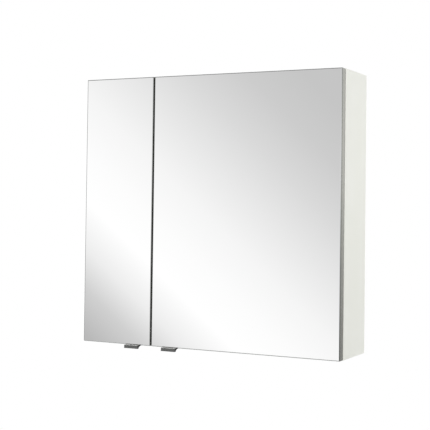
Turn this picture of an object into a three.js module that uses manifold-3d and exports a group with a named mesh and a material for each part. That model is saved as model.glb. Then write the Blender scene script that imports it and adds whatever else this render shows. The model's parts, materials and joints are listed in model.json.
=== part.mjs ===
// Two-door medicine cabinet with mirror fronts, closed, as it hangs on a wall.
// Millimetres. +X to the right seen from the front, -Y to the front, +Z up.
// The wall is the plane y = 0. The origin is the middle of the bottom panel's rear edge.
import * as THREE from 'three';
import { mergeVertices } from 'three/addons/utils/BufferGeometryUtils.js';
import Module from 'manifold-3d';

const wasm = await Module();
wasm.setup();

// ---- driving dimensions ------------------------------------------------------------

// carcass
const cabinetWidth = 700;
const cabinetHeight = 675;
const carcassDepth = 148;
const panel = 16;
const backThickness = 3;
const backRecess = 18;
const grooveDepth = 6;

// clearances
const seat = 0.3;             // between pieces that touch on the real cabinet
const doorStandOff = 2;       // carcass front edge to door back
const doorReveal = 0.5;       // door edge inside the carcass outline
const meetingGap = 3.6;       // between the two doors

// doors
const leftModule = 200;       // share of the width that the narrow door covers
const doorBoard = 16;
const glass = 4;
const groundEdge = { across: 1.7, deep: 1 };    // bevel ground round the mirror's faces
const edgeBand = 1;

// pull strips under the doors
const pullWidth = 39.2;
const pullFromGap = 33.7;     // middle of the door gap to the nearer end of a pull
const pullProud = 8;          // lip in front of the mirror
const pullDepth = 24;
const pullDrop = 8.4;
const pullWall = 1.6;         // flange under the door
const pullScoop = 1.2;        // hollow of the lip's face at mid height
const pullFoot = 6.5;         // lip's thickness at its lower edge
const pullHollow = 21;        // rear end of the finger hollow behind the lip's face
const pullHollowRound = { y: 7, z: 3.8 };   // fullness of the hollow's curve

// shelves and their supports
const shelfThickness = 5;
const shelfSetback = 10;      // shelf front edge behind the carcass front edge
const shelfBevel = { across: 0.6, deep: 0.6 };
const shelfRearGap = 1;
const shelvesPerSide = 2;
const supportPin = 2.5;       // radii and lengths of one support
const supportPinLength = 7.5;
const supportCollar = 4.5;
const supportCollarLength = 1.5;
const supportPad = 3.5;
const supportReach = 9;
const padFlat = 1.5;          // flat of the pad above the support's axis
const supportInset = 28;      // support axis from the shelf's front and rear edges
const boreClearance = 0.3;
const borePitch = 32;         // spare bores above and below each support
const spareBores = 1;         // on either side of it

// concealed hinges: plan coordinates a (from the side panel's inner face into the
// cabinet) and b (from the carcass front edge to the front), hinge height on z
const hingeFromEnd = 100;     // hinge middle to the cabinet's top or bottom
const outerArmPin = { a: 22, b: -11.8 };
const innerArmPin = { a: 12.5, b: 3.9 };
const cupCentreA = 6;
const cupRadius = 17.5;
const cupWall = 1.2;
const cupDepth = 12;
const cupFloor = 0.8;
const cupFlange = 1.2;
const cupFlangeRing = 2;
const outerCupPin = { a: -6.2, depth: 2.2 };    // depth below the door's back face
const innerCupPin = { a: -4.2, depth: 5.2 };
const innerEyeShift = { a: -0.1, b: 0.5 };      // open pivot: eye centre from its pin
const openPivotPlay = 0.85;                     // play of that eye round its pin
const cupPin = 0.9;
const innerArmPinRadius = 1.2;
const outerArmPinRadius = 1.4;
const pivotPlay = 0.25;
const innerLinkHalf = 3.6;    // half widths along the pins, from the middle outwards
const sheet = 1.2;
const linkGap = 0.4;
const outerLinkBow = 8.3;     // how far the links bow, and half their thickness
const innerLinkBow = 6.1;
const outerLinkHalfThickness = 1.05;
const innerLinkHalfThickness = 0.8;
const bridgeFromPin = [{ a: 0.9, b: 6.6 }, { a: -1.5, b: 10.8 }];  // web between the legs
const legEyeWall = 0.75;
const cupFlangeInset = 9.5;   // wing screws towards the door's middle from the cup's axis
const cupWingHalf = 5.5;
const cupWingSpan = 56;
const cupScrewSpan = 45;
const cupNotchHalf = 8;       // the flange is cut away here for the outer link
const armNose = 2.8;
const armRear = -70;
const armFront = -15.5;
const armNoseRear = -24;
const armBodyHalf = 9;
const armTop = 18;
const armSideScrew = { b: -31, radius: 2.6 };
const plateFoot = 2;
const plateFootHalf = 10;
const plateRear = -68;
const plateFront = -19;
const plateRidge = 6.5;       // ridge above the foot, inside the arm's channel
const ridgeHalf = 6.6;
const systemLine = -37;       // drilling line of the plate's screws
const plateWingHalf = 6;
const plateWingSpan = 58;
const plateScrewSpan = 32;
const screwBore = 2.2;
const clampScrew = { b: -58, neck: 2.6, head: 4.6, headHeight: 1.8, slot: 3.1, travel: 3 };

// facets round a full turn, and how far a cutting body runs past the face it opens
const cupSides = 24;
const holeSides = 16;
const pinSides = 8;
const bowSteps = 6;
const curveSteps = 5;
const cutPast = 1;
const weld = 1e-4;

// hangers in the rear recess
const hangerWidth = 22;
const hangerHeight = 62;
const hangerFromTop = 18;
const hangerWall = 1.5;
const hangerFromWall = 9;     // the housing stays clear of the wall rail
const hookThickness = 2.5;
const hookNose = 8;
const hookFromWall = 1.8;
const hookNoseThickness = 2;
const hookTail = 12;          // hook below its adjusting screw
const hookScrew = 3;
const hookScrewPlay = 0.4;
const accessHole = 5;

// ---- places worked out from them -----------------------------------------------------

const bottomZ = -panel / 2;
const topZ = bottomZ + cabinetHeight;
const halfWidth = cabinetWidth / 2;
const innerHalf = halfWidth - panel;
const frontY = -carcassDepth;
const doorBackY = frontY - doorStandOff;
const doorBoardFrontY = doorBackY - doorBoard;
const mirrorBackY = doorBoardFrontY - seat;
const mirrorFrontY = mirrorBackY - glass;
const backRearY = -backRecess;
const backFrontY = backRearY - backThickness;
const partitionX = -halfWidth + leftModule;
const floorZ = bottomZ + panel;
const ceilingZ = topZ - panel;
const signOf = { left: -1, right: 1 };

const doors = {
  left: { x0: -halfWidth + doorReveal, x1: partitionX - meetingGap / 2 },
  right: { x0: partitionX + meetingGap / 2, x1: halfWidth - doorReveal },
};
const doorZ0 = bottomZ + doorReveal;
const doorZ1 = topZ - doorReveal;

const compartments = {
  left: { x0: -innerHalf, x1: partitionX - panel / 2 },
  right: { x0: partitionX + panel / 2, x1: innerHalf },
};
const shelfPitch = (ceilingZ - floorZ) / (shelvesPerSide + 1);
const shelfFrontY = frontY + shelfSetback;
const shelfRearY = backFrontY - shelfRearGap;
const collarEnd = seat + supportCollarLength;
const shelfEndGap = collarEnd + seat;
const supportYs = [shelfFrontY + supportInset, shelfRearY - supportInset];
const shelfNames = ['lower', 'upper'];
const rowNames = ['front', 'rear'];
const hingeZs = { lower: bottomZ + hingeFromEnd, upper: topZ - hingeFromEnd };

// ---- materials ----------------------------------------------------------------------

const finish = (color, roughness, metalness) => (
  new THREE.MeshStandardMaterial({ color, roughness, metalness })
);
const whiteBoard = finish(0xebece7, 0.45, 0);
const hardboard = finish(0xe4e4df, 0.6, 0);
const mirrorGlass = finish(0xe9edee, 0.03, 1);
const shelfGlass = finish(0xd6e6df, 0.05, 0);
const aluminiumBand = finish(0x9a9b99, 0.4, 0.8);
const pullMetal = finish(0x8b8c8b, 0.3, 0.9);
const hingeSteel = finish(0xb9bbbd, 0.3, 0.9);
const supportSteel = finish(0xc4c6c8, 0.3, 0.9);
const hangerSteel = finish(0xa9abad, 0.45, 0.8);

// ---- solids -------------------------------------------------------------------------

// closed three.js geometry as a solid that can be joined and cut
function solid(geometry) {
  const bare = geometry.clone();
  bare.deleteAttribute('normal');
  bare.deleteAttribute('uv');
  const merged = mergeVertices(bare, weld);
  const index = merged.index.array;
  const kept = [];
  for (let i = 0; i < index.length; i += 3) {
    const [p, q, r] = [index[i], index[i + 1], index[i + 2]];
    if (p !== q && q !== r && r !== p) {
      kept.push(p, q, r);
    }
  }
  return new wasm.Manifold(new wasm.Mesh({
    numProp: 3,
    vertProperties: new Float32Array(merged.attributes.position.array),
    triVerts: new Uint32Array(kept),
  }));
}

function geometryOf(body) {
  const mesh = body.getMesh();
  const geometry = new THREE.BufferGeometry();
  geometry.setAttribute('position', new THREE.BufferAttribute(mesh.vertProperties, 3));
  geometry.setIndex(new THREE.BufferAttribute(mesh.triVerts, 1));
  return geometry;
}

// the same geometry seen in a mirror across x = 0, with its faces still pointing out
function mirroredX(geometry) {
  const copy = geometry.clone();
  copy.scale(-1, 1, 1);
  const index = copy.index.array;
  for (let i = 0; i < index.length; i += 3) {
    [index[i], index[i + 1]] = [index[i + 1], index[i]];
  }
  return copy;
}

function slab(x0, x1, y0, y1, z0, z1) {
  const geometry = new THREE.BoxGeometry(x1 - x0, y1 - y0, z1 - z0);
  geometry.translate((x0 + x1) / 2, (y0 + y1) / 2, (z0 + z1) / 2);
  return geometry;
}

function extruded(outline, length, options = {}) {
  return new THREE.ExtrudeGeometry(outline, {
    depth: length,
    bevelEnabled: false,
    curveSegments: curveSteps,
    ...options,
  });
}

// outline in (x, y), pushed up from z0 to z1
function upwards(outline, z0, z1) {
  const geometry = extruded(outline, z1 - z0);
  geometry.translate(0, 0, z0);
  return geometry;
}

const ontoX = new THREE.Matrix4().makeBasis(
  new THREE.Vector3(0, 1, 0),
  new THREE.Vector3(0, 0, 1),
  new THREE.Vector3(1, 0, 0),
);
const ontoY = new THREE.Matrix4().makeBasis(
  new THREE.Vector3(1, 0, 0),
  new THREE.Vector3(0, 0, 1),
  new THREE.Vector3(0, -1, 0),
);

// outline in (y, z), pushed along x from x0 to x1
function sideways(outline, x0, x1) {
  const geometry = extruded(outline, x1 - x0);
  geometry.applyMatrix4(ontoX);
  geometry.translate(x0, 0, 0);
  return geometry;
}

// outline in (x, z), pushed to the front from y0
function forwards(outline, y0, length, options) {
  const geometry = extruded(outline, length, options);
  geometry.applyMatrix4(ontoY);
  geometry.translate(0, y0, 0);
  return geometry;
}

function rectangle(x0, x1, y0, y1) {
  const outline = new THREE.Shape();
  outline.moveTo(x0, y0);
  outline.lineTo(x1, y0);
  outline.lineTo(x1, y1);
  outline.lineTo(x0, y1);
  outline.closePath();
  return outline;
}

function rodX(radius, x0, x1, y, z) {
  const geometry = new THREE.CylinderGeometry(radius, radius, x1 - x0, pinSides);
  geometry.rotateZ(-Math.PI / 2);
  geometry.translate((x0 + x1) / 2, y, z);
  return geometry;
}

function rodY(radius, x, y0, y1, z, sides = pinSides) {
  const geometry = new THREE.CylinderGeometry(radius, radius, y1 - y0, sides);
  geometry.translate(x, (y0 + y1) / 2, z);
  return geometry;
}

function rodZ(radius, x, y, z0, z1) {
  const geometry = new THREE.CylinderGeometry(radius, radius, z1 - z0, pinSides);
  geometry.rotateX(Math.PI / 2);
  geometry.translate(x, y, (z0 + z1) / 2);
  return geometry;
}

function joined(...geometries) {
  return geometries.map(solid).reduce((whole, part) => whole.add(part));
}

function cutBy(body, ...geometries) {
  return geometries.map(solid).reduce((whole, part) => whole.subtract(part), body);
}

function piece(name, geometry, material) {
  const mesh = new THREE.Mesh(geometry, material);
  mesh.name = name;
  return mesh;
}

// sheet of glass with its edges ground on both faces, from z = 0 up to its thickness
function groundSheet(width, depth, thickness, bevel) {
  const x = width / 2 - bevel.across;
  const y = depth / 2 - bevel.across;
  const geometry = extruded(rectangle(-x, x, -y, y), thickness - 2 * bevel.deep, {
    bevelEnabled: true,
    bevelThickness: bevel.deep,
    bevelSize: bevel.across,
    bevelSegments: 1,
  });
  geometry.translate(0, 0, bevel.deep);
  return geometry;
}

// ---- carcass ------------------------------------------------------------------------

const grooveY0 = backFrontY - seat;
const grooveY1 = backRearY + seat;

function supportHeights() {
  const heights = [];
  for (let i = 1; i <= shelvesPerSide; i += 1) {
    heights.push(floorZ + i * shelfPitch);
  }
  return heights;
}

// blind bores for the shelf supports in one face of an upright, with the spare ones that
// let a shelf sit higher or lower; sign tells which way the bores run into the board
function supportBores(faceX, sign) {
  const depth = sign * (supportPinLength + boreClearance);
  const [x0, x1] = [faceX - sign * cutPast, faceX + depth].sort((p, q) => p - q);
  const bores = [];
  for (const z of supportHeights()) {
    for (let step = -spareBores; step <= spareBores; step += 1) {
      const axisZ = z - seat - padFlat + step * borePitch;
      for (const y of supportYs) {
        bores.push(rodX(supportPin + boreClearance, x0, x1, y, axisZ));
      }
    }
  }
  return bores;
}

function sidePanel(side) {
  const sign = signOf[side];
  const outer = sign * halfWidth;
  const inner = sign * innerHalf;
  const [x0, x1] = [outer, inner].sort((p, q) => p - q);
  const [g0, g1] = [inner - sign * cutPast, inner + sign * grooveDepth].sort((p, q) => p - q);
  const body = joined(slab(x0, x1, frontY, 0, bottomZ, topZ));
  const groove = slab(g0, g1, grooveY0, grooveY1, floorZ - grooveDepth, ceilingZ + grooveDepth);
  return geometryOf(cutBy(body, groove, ...supportBores(inner, sign)));
}

function crossPanel(z0, z1, grooveFrom, grooveTo) {
  const x = innerHalf - seat;
  const body = joined(slab(-x, x, frontY, 0, z0, z1));
  const groove = slab(-halfWidth, halfWidth, grooveY0, grooveY1, grooveFrom, grooveTo);
  return geometryOf(cutBy(body, groove));
}

function partition() {
  const x0 = compartments.left.x1;
  const x1 = compartments.right.x0;
  const body = joined(slab(x0, x1, frontY, backFrontY - seat, floorZ + seat, ceilingZ - seat));
  return geometryOf(cutBy(body, ...supportBores(x0, 1), ...supportBores(x1, -1)));
}

const hangerX = innerHalf - seat - hangerWidth / 2;
const hangerZ1 = ceilingZ - hangerFromTop;
const hangerZ0 = hangerZ1 - hangerHeight;
const hookScrewZ = (hangerZ0 + hangerZ1) / 2;

function backPanel() {
  const reach = grooveDepth - seat;
  const x = innerHalf + reach;
  const body = joined(slab(-x, x, backFrontY, backRearY, floorZ - reach, ceilingZ + reach));
  const holes = [-1, 1].map((sign) => (
    rodY(accessHole, sign * hangerX, backFrontY - cutPast, backRearY + cutPast, hookScrewZ, holeSides)
  ));
  return geometryOf(cutBy(body, ...holes));
}

const carcass = new THREE.Group();
carcass.add(
  piece('left_side', sidePanel('left'), whiteBoard),
  piece('right_side', sidePanel('right'), whiteBoard),
  piece('top_panel', crossPanel(ceilingZ, topZ, ceilingZ - cutPast, ceilingZ + grooveDepth), whiteBoard),
  piece('bottom_panel', crossPanel(bottomZ, floorZ, floorZ - grooveDepth, floorZ + cutPast), whiteBoard),
  piece('center_partition', partition(), whiteBoard),
  piece('back_panel', backPanel(), hardboard),
);

// ---- glass shelves on their supports -------------------------------------------------

// one support: pin, collar and a pad with a flat top, pointing to +x from a board's face
function supportGeometry() {
  const profile = [
    [0, -supportPinLength],
    [supportPin, -supportPinLength],
    [supportPin, seat],
    [supportCollar, seat],
    [supportCollar, collarEnd],
    [supportPad, collarEnd],
    [supportPad, supportReach],
    [0, supportReach],
  ].map(([radius, along]) => new THREE.Vector2(radius, along));
  const turned = new THREE.LatheGeometry(profile, pinSides);
  turned.rotateZ(-Math.PI / 2);
  const above = slab(
    collarEnd, supportReach + cutPast, -supportCollar, supportCollar, padFlat, supportCollar,
  );
  return geometryOf(cutBy(joined(turned), above));
}

const supportShape = supportGeometry();
const supportShapes = { left: supportShape, right: mirroredX(supportShape) };
const shelves = new THREE.Group();

for (const [side, room] of Object.entries(compartments)) {
  supportHeights().forEach((z, level) => {
    const name = `${side}_${shelfNames[level]}_shelf`;
    const width = room.x1 - room.x0 - 2 * shelfEndGap;
    const sheetOfGlass = groundSheet(width, shelfRearY - shelfFrontY, shelfThickness, shelfBevel);
    const shelf = piece(name, sheetOfGlass, shelfGlass);
    shelf.position.set((room.x0 + room.x1) / 2, (shelfFrontY + shelfRearY) / 2, z);
    shelves.add(shelf);
    supportYs.forEach((y, row) => {
      for (const [end, x] of [['left', room.x0], ['right', room.x1]]) {
        const support = piece(`${name}_support_${rowNames[row]}_${end}`, supportShapes[end], supportSteel);
        support.position.set(x, y, z - seat - padFlat);
        shelves.add(support);
      }
    });
  });
}

// ---- doors --------------------------------------------------------------------------

// bores for the hinge cups, in door coordinates of the left or right hand
function cupBores(side) {
  const sign = signOf[side];
  const x = sign * (innerHalf - cupCentreA);
  const floorY = doorBackY - cupDepth - seat;
  return Object.values(hingeZs).map((z) => (
    rodY(cupRadius + boreClearance, x, floorY, doorBackY + cutPast, z, cupSides)
  ));
}

function doorPieces(side) {
  const { x0, x1 } = doors[side];
  const rim = edgeBand + seat;
  const board = joined(slab(
    x0 + rim, x1 - rim, doorBoardFrontY, doorBackY, doorZ0 + rim, doorZ1 - rim,
  ));
  const band = rectangle(x0, x1, doorZ0, doorZ1);
  band.holes.push(rectangle(x0 + edgeBand, x1 - edgeBand, doorZ0 + edgeBand, doorZ1 - edgeBand));
  const mirror = groundSheet(x1 - x0, doorZ1 - doorZ0, glass, groundEdge);
  mirror.rotateX(Math.PI / 2);
  mirror.translate((x0 + x1) / 2, mirrorBackY, (doorZ0 + doorZ1) / 2);
  const group = new THREE.Group();
  group.add(
    piece(`${side}_door_board`, geometryOf(cutBy(board, ...cupBores(side))), whiteBoard),
    piece(`${side}_door_edging`, forwards(band, doorBackY, doorBoard), aluminiumBand),
    piece(`${side}_mirror`, mirror, mirrorGlass),
    piece(`${side}_pull`, pullStrip(side), pullMetal),
  );
  return group;
}

// pull strip: a flange under the door and a lip with a scooped face in front of the mirror,
// hollowed behind the lip for the fingertips
function pullStrip(side) {
  const top = doorZ0 - seat;
  const bottom = top - pullDrop;
  const underside = top - pullWall;
  const lipY = mirrorFrontY - pullProud;
  const rearY = lipY + pullDepth;
  const section = new THREE.Shape();
  section.moveTo(rearY, top);
  section.lineTo(lipY, top);
  section.quadraticCurveTo(lipY + 2 * pullScoop, (top + bottom) / 2, lipY, bottom);
  section.lineTo(lipY + pullFoot, bottom);
  section.bezierCurveTo(
    lipY + pullFoot, bottom + pullHollowRound.z,
    lipY + pullHollow - pullHollowRound.y, underside,
    lipY + pullHollow, underside,
  );
  section.lineTo(rearY, underside);
  section.closePath();
  const nearX = partitionX + signOf[side] * pullFromGap;
  const farX = nearX + signOf[side] * pullWidth;
  return sideways(section, Math.min(nearX, farX), Math.max(nearX, farX));
}

// ---- concealed hinges ---------------------------------------------------------------
// Each hinge is drawn in plan for a left-hand side panel: x = a and y = -b, the hinge's
// middle on z = 0. Pins of the arm carry the links; pins of the cup carry their far ends.

const armWallInner = innerLinkHalf + linkGap;
const armWallOuter = armWallInner + sheet;
const outerLinkInner = armWallOuter + linkGap;
const outerLinkOuter = outerLinkInner + sheet;
const cupBackB = doorStandOff;
const outerCup = { a: outerCupPin.a, b: cupBackB + outerCupPin.depth };
const innerCup = { a: innerCupPin.a, b: cupBackB + innerCupPin.depth };
const innerEye = { a: innerCup.a + innerEyeShift.a, b: innerCup.b + innerEyeShift.b };
const footTop = seat + plateFoot;
const armBottom = footTop + seat;
const ridgeTop = footTop + plateRidge;
const planPoint = ({ a, b }) => new THREE.Vector2(a, -b);

// bar of even thickness along a bowed line between two pivots, in plan
function bowedBar(from, to, bow, half) {
  const start = planPoint(from);
  const end = planPoint(to);
  const along = end.clone().sub(start);
  const across = new THREE.Vector2(-along.y, along.x).normalize();
  const middle = start.clone().add(end).multiplyScalar(0.5).addScaledVector(across, 2 * bow);
  const line = new THREE.QuadraticBezierCurve(start, middle, end);
  const one = [];
  const other = [];
  for (let i = 0; i <= bowSteps; i += 1) {
    const at = line.getPoint(i / bowSteps);
    const tangent = line.getTangent(i / bowSteps);
    const normal = new THREE.Vector2(-tangent.y, tangent.x);
    one.push(at.clone().addScaledVector(normal, half));
    other.unshift(at.clone().addScaledVector(normal, -half));
  }
  return new THREE.Shape([...one, ...other]);
}

function eye(pivot, radius, z0, z1) {
  return rodZ(radius, pivot.a, -pivot.b, z0, z1);
}

function bothSides(make, inner, outer) {
  return [make(inner, outer), make(-outer, -inner)];
}

// slotted straight bar, stadium outline in plan
function stadium(from, to, radius) {
  const start = planPoint(from);
  const end = planPoint(to);
  const angle = Math.atan2(end.y - start.y, end.x - start.x);
  const outline = new THREE.Shape();
  outline.absarc(end.x, end.y, radius, angle - Math.PI / 2, angle + Math.PI / 2, false);
  outline.absarc(start.x, start.y, radius, angle + Math.PI / 2, angle + 1.5 * Math.PI, false);
  outline.closePath();
  return outline;
}

function outerLink() {
  const bar = bowedBar(outerArmPin, outerCup, outerLinkBow, outerLinkHalfThickness);
  const legs = bothSides((z0, z1) => upwards(bar, z0, z1), outerLinkInner, outerLinkOuter);
  const armEyes = bothSides(
    (z0, z1) => eye(outerArmPin, outerArmPinRadius + pivotPlay + sheet, z0, z1),
    outerLinkInner, outerLinkOuter,
  );
  const cupEyes = bothSides(
    (z0, z1) => eye(outerCup, cupPin + pivotPlay + legEyeWall, z0, z1),
    outerLinkInner, outerLinkOuter,
  );
  const bridgeEnds = bridgeFromPin.map(({ a, b }) => ({ a: outerArmPin.a + a, b: outerArmPin.b + b }));
  const ear = stadium(outerArmPin, bridgeEnds[1], sheet);
  const ears = bothSides((z0, z1) => upwards(ear, z0, z1), outerLinkInner, outerLinkOuter);
  const web = stadium(bridgeEnds[0], bridgeEnds[1], sheet / 2);
  const bridge = upwards(web, -outerLinkOuter, outerLinkOuter);
  const body = joined(...legs, ...armEyes, ...cupEyes, ...ears, bridge);
  return geometryOf(cutBy(
    body,
    eye(outerArmPin, outerArmPinRadius + pivotPlay, -outerLinkOuter - cutPast, outerLinkOuter + cutPast),
    eye(outerCup, cupPin + pivotPlay, -outerLinkOuter - cutPast, outerLinkOuter + cutPast),
  ));
}

function innerLink() {
  const bar = bowedBar(innerArmPin, innerEye, innerLinkBow, innerLinkHalfThickness);
  const body = joined(
    upwards(bar, -innerLinkHalf, innerLinkHalf),
    eye(innerArmPin, innerArmPinRadius + pivotPlay + legEyeWall, -innerLinkHalf, innerLinkHalf),
    eye(innerEye, cupPin + openPivotPlay + legEyeWall, -innerLinkHalf, innerLinkHalf),
  );
  return geometryOf(cutBy(
    body,
    eye(innerArmPin, innerArmPinRadius + pivotPlay, -innerLinkHalf - cutPast, innerLinkHalf + cutPast),
    eye(innerEye, cupPin + openPivotPlay, -innerLinkHalf - cutPast, innerLinkHalf + cutPast),
  ));
}

// arm: a channel over the mounting plate with a narrower nose that reaches into the cup
function arm() {
  const channelWall = new THREE.Shape([
    [armBottom, armRear],
    [armBottom, armNoseRear],
    [innerArmPin.a - armNose, armFront],
    [armTop, armFront],
    [armTop, armRear],
  ].map(([a, b]) => planPoint({ a, b })));
  const noseWall = new THREE.Shape([
    [innerArmPin.a - armNose, armNoseRear],
    [innerArmPin.a - armNose, innerArmPin.b],
    [innerArmPin.a, innerArmPin.b],
    [outerArmPin.a, outerArmPin.b],
    [outerArmPin.a + armNose, outerArmPin.b],
    [outerArmPin.a + armNose, armNoseRear],
  ].map(([a, b]) => planPoint({ a, b })));
  const noseEnd = stadium(innerArmPin, outerArmPin, armNose);
  const channelInner = armBodyHalf - sheet;
  const body = joined(
    ...bothSides((z0, z1) => upwards(channelWall, z0, z1), channelInner, armBodyHalf),
    slab(armTop - sheet, armTop, -armFront, -armRear, -armBodyHalf, armBodyHalf),
    ...bothSides((z0, z1) => upwards(noseWall, z0, z1), armWallInner, armWallOuter),
    ...bothSides((z0, z1) => upwards(noseEnd, z0, z1), armWallInner, armWallOuter),
    slab(
      outerArmPin.a + armNose - sheet, outerArmPin.a + armNose,
      -outerArmPin.b + armNose, -armNoseRear, -armWallOuter, armWallOuter,
    ),
    eye(innerArmPin, innerArmPinRadius, -armWallOuter, armWallOuter),
    eye(outerArmPin, outerArmPinRadius, -outerLinkOuter - linkGap, outerLinkOuter + linkGap),
    rodX(armSideScrew.radius, ridgeTop + seat, armTop + sheet, -armSideScrew.b, 0),
  );
  const slot = stadiumYZ(-clampScrew.b, clampScrew.travel, clampScrew.slot);
  return geometryOf(cutBy(body, sideways(slot, armTop - sheet - cutPast, armTop + cutPast)));
}

// stadium in (y, z) round a middle height of zero
function stadiumYZ(y, reach, radius) {
  const outline = new THREE.Shape();
  outline.absarc(y + reach, 0, radius, -Math.PI / 2, Math.PI / 2, false);
  outline.absarc(y - reach, 0, radius, Math.PI / 2, 1.5 * Math.PI, false);
  outline.closePath();
  return outline;
}

// mounting plate: a foot with two screw wings and a ridge that carries the arm
function mountingPlate() {
  const wing = new THREE.Shape();
  const wingEnd = plateWingSpan / 2 - plateWingHalf;
  wing.absarc(-systemLine, wingEnd, plateWingHalf, 0, Math.PI, false);
  wing.absarc(-systemLine, -wingEnd, plateWingHalf, Math.PI, 2 * Math.PI, false);
  wing.closePath();
  const screwY = -clampScrew.b;
  const body = joined(
    slab(seat, footTop, -plateFront, -plateRear, -plateFootHalf, plateFootHalf),
    sideways(wing, seat, footTop),
    slab(footTop - seat, ridgeTop, -plateFront, -plateRear, -ridgeHalf, ridgeHalf),
    rodX(clampScrew.neck, ridgeTop - seat, armTop + 2 * seat, screwY, 0),
    rodX(clampScrew.head, armTop + seat, armTop + seat + clampScrew.headHeight, screwY, 0),
  );
  const bores = [-1, 1].map((sign) => (
    rodX(screwBore, 0, footTop + cutPast, -systemLine, sign * plateScrewSpan / 2)
  ));
  return geometryOf(cutBy(body, ...bores));
}

// cup: turned bowl with a flange on the door's back, two wings for its screws, and the
// two pins that the links hang on
function cup() {
  const topY = -(cupBackB - seat - cupFlange);
  const flangeY = -(cupBackB - seat);
  const floorY = -(cupBackB + cupDepth);
  const inner = cupRadius - cupWall;
  const profile = [
    [0, floorY],
    [cupRadius, floorY],
    [cupRadius, flangeY],
    [cupRadius + cupFlangeRing, flangeY],
    [cupRadius + cupFlangeRing, topY],
    [inner, topY],
    [inner, floorY + cupFloor],
    [0, floorY + cupFloor],
  ].map(([radius, y]) => new THREE.Vector2(radius, y));
  const bowl = new THREE.LatheGeometry(profile, cupSides);
  bowl.translate(cupCentreA, 0, 0);
  const wings = new THREE.Shape();
  const wingX = cupCentreA + cupFlangeInset;
  const wingEnd = cupWingSpan / 2 - cupWingHalf;
  wings.absarc(wingX, wingEnd, cupWingHalf, 0, Math.PI, false);
  wings.absarc(wingX, -wingEnd, cupWingHalf, Math.PI, 2 * Math.PI, false);
  wings.closePath();
  const mouth = rodY(inner, cupCentreA, floorY + cupFloor + cutPast, topY + cutPast, 0, cupSides);
  const notch = slab(
    cupCentreA - 2 * cupRadius, outerCupPin.a, -cupBackB, topY + cutPast, -cupNotchHalf, cupNotchHalf,
  );
  const bores = [-1, 1].map((sign) => (
    rodY(screwBore, wingX, flangeY - cutPast, topY + cutPast, sign * cupScrewSpan / 2)
  ));
  const shell = cutBy(joined(bowl, forwards(wings, topY, cupFlange)), mouth, notch, ...bores);
  const wallReach = (pinA) => Math.sqrt((inner + cupWall / 2) ** 2 - (pinA - cupCentreA) ** 2);
  const stubs = bothSides(
    (z0, z1) => eye(outerCup, cupPin, z0, z1),
    outerLinkInner - linkGap / 2, wallReach(outerCup.a),
  );
  const crossPin = eye(innerCup, cupPin, -wallReach(innerCup.a), wallReach(innerCup.a));
  const pins = joined(...stubs, crossPin);
  return geometryOf(shell.add(pins));
}

const hingeShapes = {
  mounting_plate: mountingPlate(),
  arm: arm(),
  cup: cup(),
  outer_link: outerLink(),
  inner_link: innerLink(),
};

function hinges(side) {
  const group = new THREE.Group();
  group.position.set(signOf[side] * innerHalf, frontY, 0);
  for (const [level, z] of Object.entries(hingeZs)) {
    for (const [name, shape] of Object.entries(hingeShapes)) {
      const geometry = side === 'left' ? shape : mirroredX(shape);
      const part = piece(`${side}_${level}_hinge_${name}`, geometry, hingeSteel);
      part.position.z = z;
      group.add(part);
    }
  }
  return group;
}

// ---- hangers in the rear recess ---------------------------------------------------------

const housingFrontY = backRearY + seat;
const hookFrontY = housingFrontY + hangerWall + seat;
const hookTopZ = hangerZ1 + hookNose + hookThickness + linkGap;

function hangerHousing() {
  const width = hangerWidth;
  const section = new THREE.Shape([
    [0, -hangerFromWall],
    [0, housingFrontY],
    [width, housingFrontY],
    [width, -hangerFromWall],
    [width - hangerWall, -hangerFromWall],
    [width - hangerWall, housingFrontY + hangerWall],
    [hangerWall, housingFrontY + hangerWall],
    [hangerWall, -hangerFromWall],
  ].map(([x, y]) => new THREE.Vector2(x, y)));
  const body = joined(
    upwards(section, hangerZ0, hangerZ1),
    slab(0, width, housingFrontY, -hangerFromWall, hangerZ0, hangerZ0 + hangerWall),
  );
  const bore = rodY(
    hookScrew + hookScrewPlay, width / 2,
    housingFrontY - cutPast, housingFrontY + hangerWall + cutPast, hookScrewZ,
  );
  return geometryOf(cutBy(body, bore));
}

// hook: shank in the housing, a ledge that bears on the wall rail and a nose behind it
function hangerHook() {
  const backY = hookFrontY + hookThickness;
  const noseY = -hookFromWall;
  const ledgeZ = hookTopZ - hookThickness;
  const section = new THREE.Shape([
    [hookFrontY, hookScrewZ - hookTail],
    [hookFrontY, hookTopZ],
    [noseY, hookTopZ],
    [noseY, ledgeZ - hookNose],
    [noseY - hookNoseThickness, ledgeZ - hookNose],
    [noseY - hookNoseThickness, ledgeZ],
    [backY, ledgeZ],
    [backY, hookScrewZ - hookTail],
  ].map(([y, z]) => new THREE.Vector2(y, z)));
  const side = hangerWall + seat;
  return geometryOf(joined(
    sideways(section, side, hangerWidth - side),
    rodY(hookScrew, hangerWidth / 2, backRearY - seat, hookFrontY + seat, hookScrewZ),
  ));
}

const hangerShapes = { housing: hangerHousing(), hook: hangerHook() };

function hanger(side) {
  const group = new THREE.Group();
  group.position.x = signOf[side] * (innerHalf - seat);
  for (const [name, shape] of Object.entries(hangerShapes)) {
    const geometry = side === 'left' ? shape : mirroredX(shape);
    group.add(piece(`${side}_hanger_${name}`, geometry, hangerSteel));
  }
  return group;
}

const cabinet = new THREE.Group();
cabinet.add(carcass, shelves);
for (const side of ['left', 'right']) {
  cabinet.add(doorPieces(side), hinges(side), hanger(side));
}

export default cabinet;
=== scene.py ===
# A wall-hung medicine cabinet with two mirror doors, in a small product studio.
# Metres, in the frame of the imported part: +X to the right, -Y to the front, +Z up.
import json
import math

import bmesh
import bpy
from mathutils import Matrix, Vector


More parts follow.
